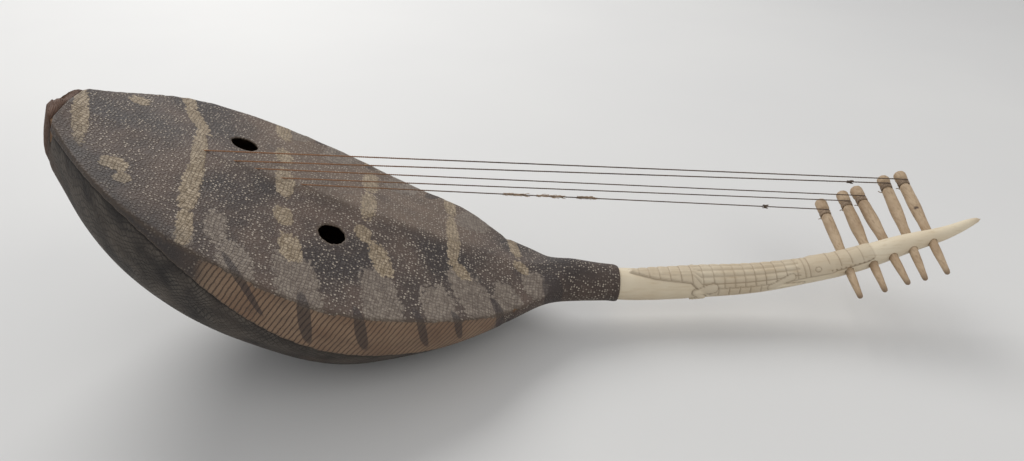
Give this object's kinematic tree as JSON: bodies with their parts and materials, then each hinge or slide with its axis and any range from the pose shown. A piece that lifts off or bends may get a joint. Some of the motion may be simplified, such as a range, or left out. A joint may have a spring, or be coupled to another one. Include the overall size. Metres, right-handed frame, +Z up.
{
  "type": "arched harp",
  "caption": "Arched harp lying on its belly: skin-covered wooden bowl, curved carved neck, lateral tuning pegs and fibre strings.",
  "frame": {"origin": "on the table, under the middle of the whole harp as it rests on its belly", "axes": "+X from the tail to the tip of the neck, +Z up, +Y the side of the pegs' heads; the harp's mirror plane is Y = 0"},
  "size_m": [0.7654, 0.236, 0.214],
  "materials": {
    "lizard_skin": "satin",
    "belly_hide": "satin",
    "bowl_wood": "matte",
    "carved_neck": "satin",
    "peg_wood": "satin",
    "string_fibre": "matte"
  },
  "bodies": {
    "harp": {"sound_bowl": "bowl_wood", "belly_skin": "belly_hide", "soundboard_skin": "lizard_skin", "string_rib": "bowl_wood", "neck": "carved_neck", "string_1": "string_fibre", "string_2": "string_fibre", "string_3": "string_fibre", "string_4": "string_fibre", "string_5": "string_fibre", "string_toggle_1": "bowl_wood", "string_toggle_2": "bowl_wood", "string_toggle_3": "bowl_wood", "string_toggle_4": "bowl_wood", "string_toggle_5": "bowl_wood"},
    "tuning_peg_1": {"peg_1": "peg_wood", "peg_winding_1": "string_fibre"},
    "tuning_peg_2": {"peg_2": "peg_wood", "peg_winding_2": "string_fibre"},
    "tuning_peg_3": {"peg_3": "peg_wood", "peg_winding_3": "string_fibre"},
    "tuning_peg_4": {"peg_4": "peg_wood", "peg_winding_4": "string_fibre"},
    "tuning_peg_5": {"peg_5": "peg_wood", "peg_winding_5": "string_fibre"}
  },
  "joints": [
    {"name": "peg_1_turn", "type": "hinge", "parent": "harp", "child": "tuning_peg_1", "pos_m": [0.27134, 0, 0.05389], "axis": [0.0698, 0.972, 0.2244], "continuous": true},
    {"name": "peg_2_turn", "type": "hinge", "parent": "harp", "child": "tuning_peg_2", "pos_m": [0.29143, 0, 0.061], "axis": [0.0558, 0.9666, 0.25], "continuous": true},
    {"name": "peg_3_turn", "type": "hinge", "parent": "harp", "child": "tuning_peg_3", "pos_m": [0.3077, 0, 0.06761], "axis": [0.014, 0.9743, 0.2249], "continuous": true},
    {"name": "peg_4_turn", "type": "hinge", "parent": "harp", "child": "tuning_peg_4", "pos_m": [0.32525, 0, 0.07409], "axis": [0.0785, 0.9508, 0.2998], "continuous": true},
    {"name": "peg_5_turn", "type": "hinge", "parent": "harp", "child": "tuning_peg_5", "pos_m": [0.34215, 0, 0.07959], "axis": [0.061, 0.957, 0.2835], "continuous": true}
  ]
}
